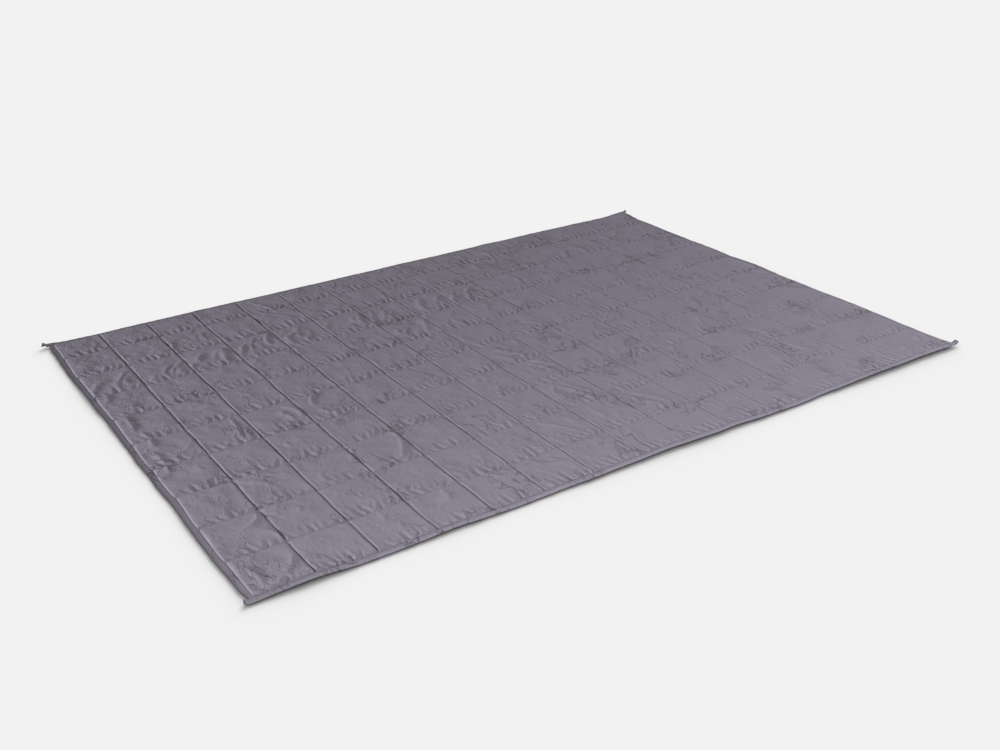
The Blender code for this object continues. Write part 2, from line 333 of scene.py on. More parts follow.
# Each is (column, row), start and end as shares of the cell, sideways bow, half width and height (m).
# Columns count from the left and rows from the front, both from 0.
CREASES = [
    ((1, 4), (0.78, 1.00), (0.60, 0.03), 0.008, 0.0034, 0.0024),
    ((1, 4), (0.90, 0.55), (0.80, 0.02), -0.004, 0.0030, 0.0020),
    ((1, 2), (0.25, 0.98), (0.95, 0.90), 0.016, 0.0036, 0.0026),
    ((1, 2), (0.20, 0.88), (0.70, 0.72), 0.014, 0.0036, 0.0018),
    ((1, 2), (0.18, 0.78), (0.45, 0.50), 0.010, 0.0040, 0.0014),
    ((2, 4), (0.72, 0.90), (0.86, 0.20), 0.016, 0.0036, 0.0024),
    ((2, 4), (0.55, 0.75), (0.70, 0.20), 0.012, 0.0036, 0.0014),
    ((3, 4), (0.55, 1.00), (0.30, 0.45), -0.014, 0.0034, 0.0024),
    ((3, 4), (0.30, 0.45), (0.60, 0.02), -0.008, 0.0034, 0.0022),
    ((3, 3), (0.20, 0.70), (0.62, 0.98), 0.006, 0.0036, 0.0018),
    ((3, 2), (0.05, 0.04), (0.62, 0.14), 0.003, 0.0036, 0.0022),
    ((3, 2), (0.62, 0.14), (0.94, 0.75), -0.006, 0.0036, 0.0030),
    ((3, 2), (0.94, 0.75), (0.86, 1.00), -0.004, 0.0034, 0.0020),
    ((2, 1), (0.08, 0.96), (0.98, 0.93), 0.003, 0.0034, 0.0020),
    ((0, 1), (0.96, 0.90), (0.45, 0.55), 0.010, 0.0040, 0.0020),
    ((0, 1), (0.80, 0.45), (0.95, 0.05), 0.008, 0.0036, 0.0016),
    ((0, 0), (0.20, 0.05), (0.55, 0.22), -0.010, 0.0036, 0.0030),
    ((0, 0), (0.55, 0.22), (0.93, 0.70), -0.010, 0.0036, 0.0024),
    ((0, 0), (0.14, 0.75), (0.24, 0.15), 0.007, 0.0040, 0.0026),
    ((4, 9), (0.20, 0.90), (0.50, 0.10), 0.006, 0.0040, 0.0018),
    ((4, 8), (0.15, 0.95), (0.75, 0.30), 0.010, 0.0040, 0.0018),
    ((13, 8), (0.30, 0.90), (0.48, 0.15), 0.004, 0.0036, 0.0022),
    ((7, 4), (0.25, 0.80), (0.75, 0.05), 0.006, 0.0036, 0.0022),
    ((7, 4), (0.10, 0.55), (0.45, 0.05), 0.006, 0.0036, 0.0016),
    ((7, 3), (0.45, 0.95), (0.80, 0.25), 0.006, 0.0036, 0.0022),
    ((7, 3), (0.60, 0.98), (0.92, 0.50), 0.004, 0.0034, 0.0018),
    ((7, 2), (0.30, 0.90), (0.65, 0.15), 0.006, 0.0036, 0.0020),
    ((7, 2), (0.50, 0.95), (0.85, 0.20), -0.004, 0.0036, 0.0016),
    ((8, 1), (0.10, 0.90), (0.55, 0.10), 0.006, 0.0036, 0.0020),
    ((8, 1), (0.30, 0.95), (0.72, 0.25), 0.005, 0.0034, 0.0018),
    ((9, 5), (0.20, 0.75), (0.85, 0.45), 0.004, 0.0034, 0.0018),
    ((10, 4), (0.15, 0.80), (0.60, 0.62), 0.003, 0.0034, 0.0018),
    ((8, 5), (0.55, 0.60), (0.95, 0.20), 0.004, 0.0034, 0.0016),
    ((12, 2), (0.10, 0.95), (0.55, 0.20), 0.005, 0.0036, 0.0020),
    ((12, 1), (0.30, 0.85), (0.62, 0.25), -0.005, 0.0036, 0.0020),
    ((6, 1), (0.20, 0.90), (0.70, 0.20), 0.005, 0.0036, 0.0016),
]
SWEPT_ROWS = [  # row, columns, most creases in a cell, height: cells whose cloth was swept aside in arcs
    (7, range(0, 9), 5, 0.0026),
    (6, range(6, 9), 4, 0.0018),
    (8, range(1, 3), 3, 0.0014),
]
EDGE_CREASES = [(6.2, 0.9), (5.4, 0.8), (4.6, 1.0), (7.1, 0.5)]  # place and length in rows, at the left
ROW_LENGTH = 0.14  # metres to a row, for these lengths
SMALL_CREASES = 420
CREASE_SCALE = 1.5
CREASE_FADE = 0.007  # distance from a seam over which the creases fade out
DENT_FADE = 0.022
GROOVES = [  # seams that the thread has drawn in hard: (column, row), start and end within the cell
    ((1, 2), (0.20, 0.00), (1.00, 0.00)),
    ((2, 2), (0.00, 0.00), (1.00, 0.00)),
    ((3, 2), (0.00, 0.00), (0.60, 0.00)),
    ((6, 1), (0.00, 0.00), (1.00, 0.00)),
    ((7, 1), (0.30, 0.00), (0.90, 0.00)),
    ((9, 3), (0.00, 0.00), (1.00, 0.00)),
    ((10, 3), (0.00, 0.00), (1.00, 0.00)),
    ((11, 3), (0.00, 0.00), (1.00, 0.00)),
    ((12, 3), (0.00, 0.00), (1.00, 0.00)),
    ((8, 4), (0.40, 0.00), (1.00, 0.00)),
    ((9, 5), (0.00, 0.00), (0.70, 0.00)),
]
GROOVE_DEPTH = 0.0012
GROOVE_HALF_WIDTH = 0.0024


def in_cell(cell, place):
    """The point of the flat quilt at place = (share along X, share along Y) of a cell."""
    column, row = cell
    x = SEAM_X[column] + place[0] * (SEAM_X[column + 1] - SEAM_X[column])
    y = SEAM_Y[row] + place[1] * (SEAM_Y[row + 1] - SEAM_Y[row])
    return np.array([x, y])


def all_creases():
    """(start, end, bow, half width, height) of every crease, in metres on the flat quilt."""
    made = [(in_cell(c, a), in_cell(c, b), bow, width, height) for c, a, b, bow, width, height in CREASES]
    draw = np.random.default_rng(17)
    for row, columns, count, height in SWEPT_ROWS:
        for column in columns:
            for _ in range(draw.integers(count - 2, count + 1)):
                left = draw.uniform(0.02, 0.85)
                foot = draw.uniform(0.02, 0.35)
                start = in_cell((column, row), (left, foot))
                lean = draw.uniform(0.05, 0.45)
                rise = draw.uniform(0.25, 0.75)
                end = in_cell((column, row), (min(left + lean, 0.97), min(foot + rise, 0.95)))
                size = height * draw.uniform(0.35, 1.15) * (1 - 0.05 * column)
                made.append((start, end, draw.uniform(0.002, 0.020), draw.uniform(0.004, 0.008), size))
    for place, length in EDGE_CREASES:
        start = in_cell((0, int(place)), (draw.uniform(0.20, 0.30), place % 1))
        end = start - np.array([draw.uniform(-0.004, 0.008), length * ROW_LENGTH])
        made.append((start, end, 0.004, 0.0038, 0.0024))
    for _ in range(SMALL_CREASES):
        start = np.array([draw.uniform(SEAM_X[0], SEAM_X[-1]), draw.uniform(SEAM_Y[0], SEAM_Y[-1])])
        turn, length = draw.normal(math.pi / 2, 0.5), draw.uniform(0.02, 0.07)
        end = start + length * np.array([math.cos(turn), math.sin(turn)])
        bow, width = draw.normal(0, 0.004), draw.uniform(0.003, 0.006)
        made.append((start, end, bow, width, draw.uniform(0.0004, 0.0013)))
    return made


def ridge_heights(ridges):
    """Height of ridges, or of grooves, given as (start, end, bow, half width, height)."""
    height = np.zeros_like(GRID_X)
    for start, end, bow, width, top in ridges:
        along = end - start
        length = float(np.hypot(*along))
        along = along / length
        reach = abs(bow) + 4 * width
        low, high = np.minimum(start, end) - reach, np.maximum(start, end) + reach
        at_x = slice(*np.searchsorted(LINE_X, [low[0], high[0]]))
        at_y = slice(*np.searchsorted(LINE_Y, [low[1], high[1]]))
        away_x, away_y = GRID_X[at_x, at_y] - start[0], GRID_Y[at_x, at_y] - start[1]
        share = (away_x * along[0] + away_y * along[1]) / length
        aside = away_y * along[0] - away_x * along[1] - 4 * bow * share * (1 - share)
        ends = smoothstep(share / 0.25) * smoothstep((1 - share) / 0.25)
        height[at_x, at_y] += top * ends * np.exp(-((aside / width) ** 2))
    return height


def crease_heights():
    """Height that creases add to the upper fabric, fading out towards the seams, less the grooves."""
    size = (0, GROOVE_HALF_WIDTH, -GROOVE_DEPTH)
    drawn_in = [(in_cell(cell, start), in_cell(cell, end), *size) for cell, start, end in GROOVES]
    creases = CREASE_SCALE * ridge_heights(all_creases()) * smoothstep(FROM_SEAM / CREASE_FADE)
    return creases + ridge_heights(drawn_in)


def dent_heights():
    """Soft hollows and swellings of the uneven fill. The left and the back of the quilt have more."""
    broad = 0.0013 * lattice_noise(GRID_X + 0.3 * GRID_Y, GRID_Y, 0.040, 26)
    small = 0.0008 * lattice_noise(GRID_X, GRID_Y + 0.5 * GRID_X, 0.018, 27)
    fine = 0.0003 * lattice_noise(GRID_X, GRID_Y, 0.0095, 28)
    strength = 1.15 - 0.6 * smoothstep((GRID_X + SIDE_X) / (1.5 * SIDE_X)) + 0.25 * GRID_Y / HALF_WIDTH
    return (broad + small + fine) * strength * smoothstep(FROM_SEAM / DENT_FADE)


# ---------------------------------------------------------------------------------------------
# Meshes from grids of points


def mesh_from(name, points, faces, material, smooth=True):
    mesh = bpy.data.meshes.new(name)
    mesh.vertices.add(len(points))
    mesh.vertices.foreach_set("co", np.ascontiguousarray(points, np.float32).ravel())
    mesh.loops.add(faces.size)
    mesh.loops.foreach_set("vertex_index", faces.astype(np.int32).ravel())
    mesh.polygons.add(len(faces))
    mesh.polygons.foreach_set("loop_start", np.arange(0, faces.size, faces.shape[1], dtype=np.int32))
    mesh.polygons.foreach_set("use_smooth", np.full(len(faces), smooth))
    mesh.update(calc_edges=True)
    piece = bpy.data.objects.new(name, mesh)
    bpy.context.scene.collection.objects.link(piece)
    mesh.materials.append(material)
    return piece


def grid_faces(rows, columns, flip=False):
    """Quads over a grid of points that is stored row after row."""
    index = np.arange(rows * columns).reshape(rows, columns)
    corners = [index[:-1, :-1], index[1:, :-1], index[1:, 1:], index[:-1, 1:]]
    if flip:
        corners = corners[::-1]
    return np.stack(corners, -1).reshape(-1, 4)


def sheet_piece(name, points, material, flip=False):
    """A piece of cloth from a grid of points, laid on the floor."""
    laid = lay(points)
    faces = grid_faces(points.shape[0], points.shape[1], flip)
    return mesh_from(name, laid.reshape(-1, 3), faces, material)


# ---------------------------------------------------------------------------------------------
# Materials


def node(tree, kind, **values):
    """A shader node. Each value goes to the input of that name, or else to the node's own setting."""
    made = tree.nodes.new(kind)
    for key, value in values.items():
        if key in made.inputs:
            made.inputs[key].default_value = value
        else:
            setattr(made, key, value)
    return made


def texture(tree, place, kind, **values):
    made = node(tree, kind, **values)
    tree.links.new(place, made.inputs["Vector"])
    return made.outputs["Fac"]


def combine(tree, operation, *values):
    """Math on values, each a number or another node's output."""
    made = node(tree, "ShaderNodeMath", operation=operation)
    for socket, value in zip(made.inputs, values):
        if isinstance(value, float):
            socket.default_value = value
        else:
            tree.links.new(value, socket)
    return made.outputs[0]


def map_range(tree, value, from_range, to_range, interpolation="LINEAR"):
    made = node(tree, "ShaderNodeMapRange", interpolation_type=interpolation)
    names = ("From Min", "From Max", "To Min", "To Max")
    for name, number in zip(names, (*from_range, *to_range)):
        made.inputs[name].default_value = number
    tree.links.new(value, made.inputs["Value"])
    return made.outputs["Result"]


NOISE = "ShaderNodeTexNoise"
MOTTLE = 0.06  # how far the colour varies, as a share of itself
CRUMPLE_HEIGHT = 0.0034
CRUMPLE_BUMPS = 0.40  # height of the small bumps, against that of the ridges
CRUMPLE_LEAN = math.radians(-14)


def crumples(tree, place):
    """Height of fine crumples: thin bent ridges in patches, mostly along Y, over small soft bumps."""
    drawn_out = node(tree, "ShaderNodeMapping", Scale=(1.0, 0.45, 1.0), Rotation=(0, 0, CRUMPLE_LEAN))
    tree.links.new(place, drawn_out.inputs["Vector"])
    along_y = drawn_out.outputs["Vector"]
    lines = texture(tree, along_y, NOISE, Scale=30.0, Detail=3.0, Roughness=0.5, Distortion=0.9)
    patches = texture(tree, place, NOISE, Scale=9.0, Detail=1.0)
    bumps = texture(tree, place, NOISE, Scale=95.0, Detail=2.0, Roughness=0.6)
    from_line = combine(tree, "ABSOLUTE", combine(tree, "SUBTRACT", lines, 0.5))
    ridges = map_range(tree, from_line, (0.0, 0.028), (1.0, 0.0), "SMOOTHSTEP")
    strength = map_range(tree, patches, (0.49, 0.63), (0.0, 1.1))
    patched = combine(tree, "MULTIPLY", ridges, strength)
    return combine(tree, "MULTIPLY_ADD", bumps, CRUMPLE_BUMPS, patched)


def fabric_colour(tree, cloudy, nap, colour):
    """The colour, varied slowly by cloudy patches and finely by the nap."""
    shades = node(tree, "ShaderNodeMix", data_type="RGBA")
    shades.inputs[6].default_value = (*[c * (1 - MOTTLE) for c in colour], 1)
    shades.inputs[7].default_value = (*[c * (1 + MOTTLE) for c in colour], 1)
    share = combine(tree, "MULTIPLY_ADD", nap, 0.35, combine(tree, "MULTIPLY", cloudy, 0.65))
    tree.links.new(share, shades.inputs["Factor"])
    return shades.outputs[2]


def fabric_relief(tree, place, nap, weave, bump):
    """The normal that crossed threads and nap give, with the crumples over them."""
    wave = "ShaderNodeTexWave"
    bands = {"Scale": 0.5 / weave / math.pi, "Distortion": 0.6, "Detail": 1.0}
    warp, weft = [texture(tree, place, wave, bands_direction=way, **bands) for way in ("X", "Y")]
    fine = node(tree, "ShaderNodeBump", Strength=0.35, Distance=bump)
    threads = combine(tree, "MULTIPLY", warp, weft)
    tree.links.new(combine(tree, "ADD", threads, nap), fine.inputs["Height"])
    coarse = node(tree, "ShaderNodeBump", Strength=0.95, Distance=CRUMPLE_HEIGHT)
    tree.links.new(crumples(tree, place), coarse.inputs["Height"])
    tree.links.new(fine.outputs["Normal"], coarse.inputs["Normal"])
    return coarse.outputs["Normal"]


def fabric_material(name, colour, roughness, weave=0.0008, bump=0.00012, sheen=0.01):
    """Brushed woven fabric: fine crossed threads, soft nap, slow colour variation and a light sheen."""
    material = bpy.data.materials.new(name)
    material.use_nodes = True
    tree = material.node_tree
    shader = tree.nodes["Principled BSDF"]
    shader.inputs["Sheen Weight"].default_value = sheen
    shader.inputs["Sheen Roughness"].default_value = 0.45
    shader.inputs["Sheen Tint"].default_value = (0.85, 0.82, 0.95, 1)
    shader.inputs["Specular IOR Level"].default_value = 0.05
    place = node(tree, "ShaderNodeTexCoord").outputs["Object"]
    cloudy = texture(tree, place, NOISE, Scale=14.0, Detail=3.0, Roughness=0.6)
    nap = texture(tree, place, NOISE, Scale=420.0, Detail=2.0, Roughness=0.7)
    rough = map_range(tree, cloudy, (0.0, 1.0), (roughness - 0.08, roughness + 0.08))
    tree.links.new(fabric_colour(tree, cloudy, nap, colour), shader.inputs["Base Color"])
    tree.links.new(rough, shader.inputs["Roughness"])
    tree.links.new(fabric_relief(tree, place, nap, weave, bump), shader.inputs["Normal"])
    return material


MAUVE = (0.0545, 0.0492, 0.0608)


def shaded(share):
    """The quilt's colour, times share. For the binding and the thread, the share paints light and shade
    into the colour.
    """
    return tuple(share * c for c in MAUVE)


SHELL = fabric_material("shell_fabric", MAUVE, 0.74)
UNDERSIDE = fabric_material("underside_fabric", shaded(0.9), 0.80)
# The binding is painted lighter than the cells as a painted highlight. It also stands in for the side
# light and low sun, which reach only the upper fabric.
BINDING = fabric_material("binding", shaded(1.25), 0.72, weave=0.0009)
BATTING = fabric_material("batting", (0.80, 0.80, 0.78), 0.95, weave=0.004, bump=0.0004, sheen=0.0)
# The thread is painted darker than the fabric as painted shade: it draws the thin dark line of shade
# along the seams.
THREAD = fabric_material("thread", shaded(0.75), 0.65, weave=0.0002, bump=0.00005)

# ---------------------------------------------------------------------------------------------
# Fabric and fill

RELAXED = relax_cloth()


def soft_ceiling(height, rounding=0.0007):
    """Keeps a height below the CAD loft, with a rounded approach to it."""
    start = LOFT - 2 * rounding
    room = 1.9 * rounding
    over = np.maximum(height - start, 0)
    return np.where(over > 0, start + room * np.tanh(over / room), height)


def upper_surface():
    """Points of the upper fabric before it is laid: the relaxed cloth, its creases and its dents."""
    points = RELAXED.copy()
    points[..., 2] += SEAM_TOP
    points[..., 2] = soft_ceiling(points[..., 2] + crease_heights() + dent_heights())
    return points


def soft_floor(height, sharpness=0.0006):
    """Keeps a height from going under the floor, with a rounded landing."""
    landing = sharpness * np.exp(np.clip(height / sharpness - 1, -30, 0))
    return np.where(height > sharpness, height, landing)


FOLD_REACH = 0.9  # how far to either side of a fold line the grids keep all their lines, as a share of its axis height
NEAR_FOLD = np.zeros(len(LINE_X), bool)
for fold_axis in FOLDS.values():
    NEAR_FOLD |= np.abs(LINE_X - fold_axis.x) < FOLD_REACH * fold_axis.z + 0.004


def thinned(count, step, kept):
    """Every step-th of count grid lines, and the kept ones."""
    return np.unique(np.concatenate([np.arange(0, count, step), np.nonzero(kept)[0]]))


LOWER_LINES_X = thinned(len(LINE_X), 2, NEAR_FOLD | np.isin(LINE_X, SEAM_X))
LOWER_LINES_Y = thinned(len(LINE_Y), 2, np.isin(LINE_Y, SEAM_Y))
LOWER_RUN = 0.020  # from a seam to where the underside rests on the floor
LOWER_PUCKER = 0.0012


def lower_surface():
    """The lower fabric: up at the stitch lines, flat on the floor between them, with mirrored puckers."""
    pinch = 1 - smoothstep(FROM_SEAM / LOWER_RUN)
    pucker = RELAXED[..., 2] / PUFF - smoothstep(FROM_SEAM / LOWER_RUN)
    height = SEAM_UNDERSIDE * pinch - LOWER_PUCKER * pucker * (1 - pinch) * pinch
    points = np.stack([GRID_X, GRID_Y, soft_floor(height)], -1)
    return points[LOWER_LINES_X][:, LOWER_LINES_Y]


def halves(lines_x):
    """Index ranges of the grid lines left and right of the split seam, which both hold it."""
    at = int(np.argmin(np.abs(lines_x - SPLIT_X)))
    return {"left": slice(0, at + 1), "right": slice(at, None)}


def make_fabric(kind, points, lines_x, material, flip):
    """The two pieces of one fabric layer, left and right of the split seam."""
    made = {}
    for side, part in halves(lines_x).items():
        name = f"{kind}_{side}"
        piece = sheet_piece(name, points[part], material, flip)
        made[side] = piece
    return made


def bend_over_fold(piece, side):
    """Bakes a piece's transform into its mesh, the same way for either half."""
    if side == "left":  # both halves are baked alike
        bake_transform(piece)
    else:
        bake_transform(piece)


TOP = upper_surface()


def make_shells():
    tops = make_fabric("top_shell", TOP, LINE_X, SHELL, False)
    lower_x = LINE_X[LOWER_LINES_X]
    bottoms = make_fabric("bottom_shell", lower_surface(), lower_x, UNDERSIDE, True)
    for side, piece in tops.items():
        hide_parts(side + "_top_shell", "middle_top_shell")
        bend_over_fold(piece, side)
    for side, piece in bottoms.items():
        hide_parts(side + "_bottom_shell", "middle_bottom_shell")
        bend_over_fold(piece, side)


BATTING_STEP = 3  # every third line of the upper fabric's grid
FILL_CLEARANCE = 0.0009
THINNEST_FILL = 0.0003
FILL_INSET = 0.002  # from the edge's stitch lines


def lowest_near(height, reach):
    """The lowest value within reach grid lines of every point."""
    lowest = height.copy()
    for axis in (0, 1):
        for shift in range(1, reach + 1):
            for way in (-shift, shift):
                moved = np.roll(lowest, way, axis)
                lowest = np.minimum(lowest, moved)
    return lowest


def closed_pad(name, layers, shape):
    """A closed body of fill between a lower and an upper layer of points, both grids of this shape."""
    index = np.arange(shape[0] * shape[1]).reshape(shape)
    rim = np.concatenate([index[:-1, 0], index[-1, :-1], index[:0:-1, -1], index[0, :0:-1]])
    after = np.roll(rim, -1)
    count = index.size
    walls = np.stack([rim, after, after + count, rim + count], -1)
    faces = np.concatenate([grid_faces(*shape, flip=True), grid_faces(*shape) + count, walls])
    return mesh_from(name, np.concatenate(layers), faces, BATTING)


def make_batting():
    """A pad of fill in each half, pinched thin under the stitch lines."""
    top = lowest_near(TOP[..., 2], 2) - FILL_CLEARANCE
    bottom = SEAM_UNDERSIDE * (1 - smoothstep(FROM_SEAM / LOWER_RUN)) + 2 * FILL_CLEARANCE
    bottom = np.minimum(bottom, top - THINNEST_FILL)
    rows = np.arange(0, len(LINE_Y), BATTING_STEP)
    inside_y = np.clip(LINE_Y[rows], LINE_Y[0] + FILL_INSET, LINE_Y[-1] - FILL_INSET)
    for side, part in halves(LINE_X).items():
        lines = thinned(len(LINE_X), BATTING_STEP, NEAR_FOLD | (LINE_X == SPLIT_X))
        lines = lines[np.isin(lines, np.arange(len(LINE_X))[part])]
        inside_x = np.clip(LINE_X[lines], LINE_X[0] + FILL_INSET, LINE_X[-1] - FILL_INSET)
        flat_x, flat_y = np.meshgrid(inside_x, inside_y, indexing="ij")
        layers = [
            lay(np.stack([flat_x, flat_y, level[np.ix_(lines, rows)]], -1)).reshape(-1, 3)
            for level in (bottom, top)
        ]
        piece = closed_pad(f"batting_{side}", layers, flat_x.shape)
        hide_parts(side + "_batting", "middle_batting")
        bend_over_fold(piece, side)


# ---------------------------------------------------------------------------------------------
# Binding: a folded band round the edge, with a tail at each corner of the long edges

BINDING_STEP = 0.0045
LIP_GAP = 0.0003
SIDE_OVERRUN = 0.004  # how far the side bands run into the long ones
NECK = 0.0035  # and how much narrower they are there
NECK_RUN = 0.035
TAILS = {  # corner: (length past the side edge, rise of the tip, width share at the tip, droop)
    ("left", "front"): (0.008, 0.0045, 0.85, 0.0035),
    ("left", "back"): (0.014, 0.0080, 1.10, 0.0060),
    ("right", "front"): (0.012, 0.0045, 1.00, 0.0),
    ("right", "back"): (0.009, 0.0040, 0.70, 0.0),
}
PROFILE_TURNS = 11


def band_profile():
    """Outline of the folded band as (outward, up) points, from the upper lip round to the lower one."""
    middle = BINDING_TOP / 2
    centre = 0.46 * BINDING_WIDTH
    angles = np.linspace(math.pi / 2, -math.pi / 2, PROFILE_TURNS)
    out = centre + (BINDING_WIDTH - centre) * np.cos(angles)
    up = middle + middle * np.sin(angles)
    upper_lip = [[0.0, SEAM_TOP - 0.0004], [0.0006, BINDING_TOP - 0.0009], [0.0030, BINDING_TOP - 0.0001]]
    lower_lip = [[0.0034, 0.0004], [0.0, SEAM_UNDERSIDE - LIP_GAP]]
    return np.concatenate([upper_lip, np.stack([out, up], -1), lower_lip])


def band_points(along, seed, shrink=None, rise=None):
    """(outward, up) of the band at each place along it, with the dents that sewing gives it."""
    profile = band_profile()
    out = np.repeat(profile[None, :, 0], len(along), 0)
    up = np.repeat(profile[None, :, 1], len(along), 0)
    around = np.arange(len(profile)) / len(profile)
    place, turn = np.meshgrid(along, around, indexing="ij")
    dents = lattice_noise(place, turn * 0.02, 0.011, seed)
    dents = dents + 0.6 * lattice_noise(place, turn * 0.03, 0.045, seed + 1)
    body = np.sin(np.pi * np.clip(around, 0, 1))[None, :]
    out = out + 0.0006 * dents * body
    up = up + 0.0004 * dents * body * (up > 0.001)
    if shrink is not None:
        middle = BINDING_TOP / 2
        centre = 0.5 * BINDING_WIDTH
        out = centre + (out - centre) * shrink[:, None]
        up = middle + (up - middle) * (0.35 + 0.65 * shrink[:, None]) + rise[:, None]
    return out, np.maximum(up, 0.0002)


def finish_band(name, points, nodes, flip):
    faces = grid_faces(points.shape[0], points.shape[1], flip)
    piece = mesh_from(name, lay(points).reshape(-1, 3), faces, BINDING)
    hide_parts(*nodes)
    return piece


def tail_shape(x, side, edge):
    """Shares of width and the rise along a long-edge band, which change only past the side edge."""
    length, rise, tip, droop = TAILS[side, edge]
    past = np.clip((np.abs(x) - SIDE_X) / length, 0, 1)
    shrink = 1 - (1 - tip) * past - 0.85 * tip * smoothstep((past - 0.72) / 0.28)
    return shrink, rise * smoothstep(past * 1.2) - droop * smoothstep((past - 0.5) / 0.5)


def make_long_edge_band(side, edge):
    outward = -1 if edge == "front" else 1
    stitch_line = SEAM_Y[0] if edge == "front" else SEAM_Y[-1]
    length = TAILS[side, edge][0]
    reach = SIDE_X + length
    ends = (-reach, SPLIT_X) if side == "left" else (SPLIT_X, reach)
    x = np.linspace(*ends, round((ends[1] - ends[0]) / BINDING_STEP) + 1)
    fine = SIDE_X + length * np.linspace(0.05, 1, 9)
    x = np.unique(np.round(np.concatenate([x, -fine if side == "left" else fine]), 6))
    x = x[np.abs(x) <= reach + 1e-6] if side == "left" else x
    shrink, rise = tail_shape(x, side, edge)
    out, up = band_points(x, 41 if edge == "front" else 43, shrink, rise)
    y = stitch_line + outward * out
    points = np.stack([np.repeat(x[:, None], out.shape[1], 1), y, up], -1)
    name = f"{edge}_binding_{side}"
    nodes = (f"{side}_{edge}_binding", f"middle_{edge}_binding")
    piece = finish_band(name, points, nodes, flip=edge == "front")
    bend_over_fold(piece, side)


def make_side_band(side):
    outward = -1 if side == "left" else 1
    stitch_line = SEAM_X[0] if side == "left" else SEAM_X[-1]
    count = round((SEAM_Y[-1] - SEAM_Y[0]) / BINDING_STEP) + 1
    y = np.linspace(SEAM_Y[0] - SIDE_OVERRUN, SEAM_Y[-1] + SIDE_OVERRUN, count)
    out, up = band_points(y, 45 if side == "left" else 47)
    neck = NECK * (1 - smoothstep((SEAM_Y[-1] - np.abs(y)) / NECK_RUN))
    x = stitch_line + outward * (out - neck[:, None] * (out / BINDING_WIDTH))
    points = np.stack([x, np.repeat(y[:, None], out.shape[1], 1), up], -1)
    nodes = (f"{side}_side_binding",)
    piece = finish_band(f"side_binding_{side}", points, nodes, flip=side == "right")
    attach(piece, side + "_panel")


# ---------------------------------------------------------------------------------------------
# Stitches: one small body for each

STITCH_PITCH = 0.0044
STITCH_LENGTH = 0.0031
STITCH_HALF_WIDTH = 0.00030
STITCH_SINK = 0.00005
TOPSTITCH_OUT = 0.0022  # the binding's topstitching, outward from the edge's stitch line
TOPSTITCH_RISE = 0.0017  # and above it
NEAR_LINE = 0.01  # a stitch line this near to a fold line lies on it


def stitch_mesh(name, centres, directions, sides, ups):
    """Pointed bodies of thread, each along its direction and standing a little proud of the cloth."""
    half = STITCH_LENGTH / 2
    corners = [
        centres - directions * half - ups * STITCH_HALF_WIDTH,
        centres + sides * STITCH_HALF_WIDTH,
        centres + ups * STITCH_HALF_WIDTH,
        centres - sides * STITCH_HALF_WIDTH,
        centres - ups * STITCH_HALF_WIDTH,
        centres + directions * half - ups * STITCH_HALF_WIDTH,
    ]
    points = np.stack(corners, 1).reshape(-1, 3)
    one = [[0, 1, 2], [0, 2, 3], [0, 3, 4], [0, 4, 1], [5, 2, 1], [5, 3, 2], [5, 4, 3], [5, 1, 4]]
    first = len(corners) * np.arange(len(centres))
    faces = (np.array(one)[None] + first[:, None, None]).reshape(-1, 3)
    piece = mesh_from(name, points, faces, THREAD)
    return piece


def run_of_stitches(x, y, z, under=False):
    """Centres, directions, sides and ups of stitches along a line of flat points, laid on the floor."""
    line = lay(np.stack([x, y, z], -1))
    travelled = np.concatenate([[0], np.cumsum(np.linalg.norm(np.diff(line, axis=0), axis=1))])
    at = np.arange(STITCH_PITCH / 2, travelled[-1], STITCH_PITCH)
    centres = np.stack([np.interp(at, travelled, line[:, k]) for k in range(3)], -1)
    ahead = np.stack([np.interp(at + 0.001, travelled, line[:, k]) for k in range(3)], -1)
    behind = np.stack([np.interp(at - 0.001, travelled, line[:, k]) for k in range(3)], -1)
    directions = ahead - behind
    directions /= np.linalg.norm(directions, axis=1, keepdims=True)
    up = np.array([0, 0, -1.0 if under else 1.0])
    sides = np.cross(up, directions)
    sides /= np.linalg.norm(sides, axis=1, keepdims=True)
    ups = np.cross(directions, sides)
    return centres + ups * (STITCH_HALF_WIDTH - STITCH_SINK), directions, sides, ups


def joined(*runs):
    return [np.concatenate(parts) for parts in zip(*runs)]


def seam_height_along_y(x):
    return TOP[int(np.argmin(np.abs(LINE_X - x))), :, 2]


def seam_height_along_x(y):
    return TOP[:, int(np.argmin(np.abs(LINE_Y - y))), 2]


def panel_of(x):
    if x < FOLDS["left_fold"].x - NEAR_LINE:
        return "left"
    return "right" if x > FOLDS["right_fold"].x + NEAR_LINE else "middle"


def make_column_stitching():
    for number in range(1, COLUMN_SEAMS + 1):
        x = SEAM_X[number]
        flat = np.full(len(LINE_Y), x)
        above = run_of_stitches(flat, LINE_Y, seam_height_along_y(x))
        below = run_of_stitches(flat, LINE_Y, np.full(len(LINE_Y), SEAM_UNDERSIDE), under=True)
        name = f"column_stitching_{number:02d}"
        piece = stitch_mesh("seam_" + name, *joined(above, below))
        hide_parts(name)
        if min(abs(x - fold.x) for fold in FOLDS.values()) < NEAR_LINE:
            bend_over_fold(piece, "left" if x < 0 else "right")
        else:
            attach(piece, panel_of(x) + "_panel")


def make_row_stitching():
    for number in range(1, ROW_SEAMS + 1):
        y = SEAM_Y[number]
        height = seam_height_along_x(y)
        for side, part in halves(LINE_X).items():
            x = LINE_X[part]
            flat = np.full(len(x), y)
            above = run_of_stitches(x, flat, height[part])
            below = run_of_stitches(x, flat, np.full(len(x), SEAM_UNDERSIDE), under=True)
            piece = stitch_mesh(f"seam_row_stitching_{number:02d}_{side}", *joined(above, below))
            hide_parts(f"{side}_row_stitching_{number:02d}", f"middle_row_stitching_{number:02d}")
            bend_over_fold(piece, side)


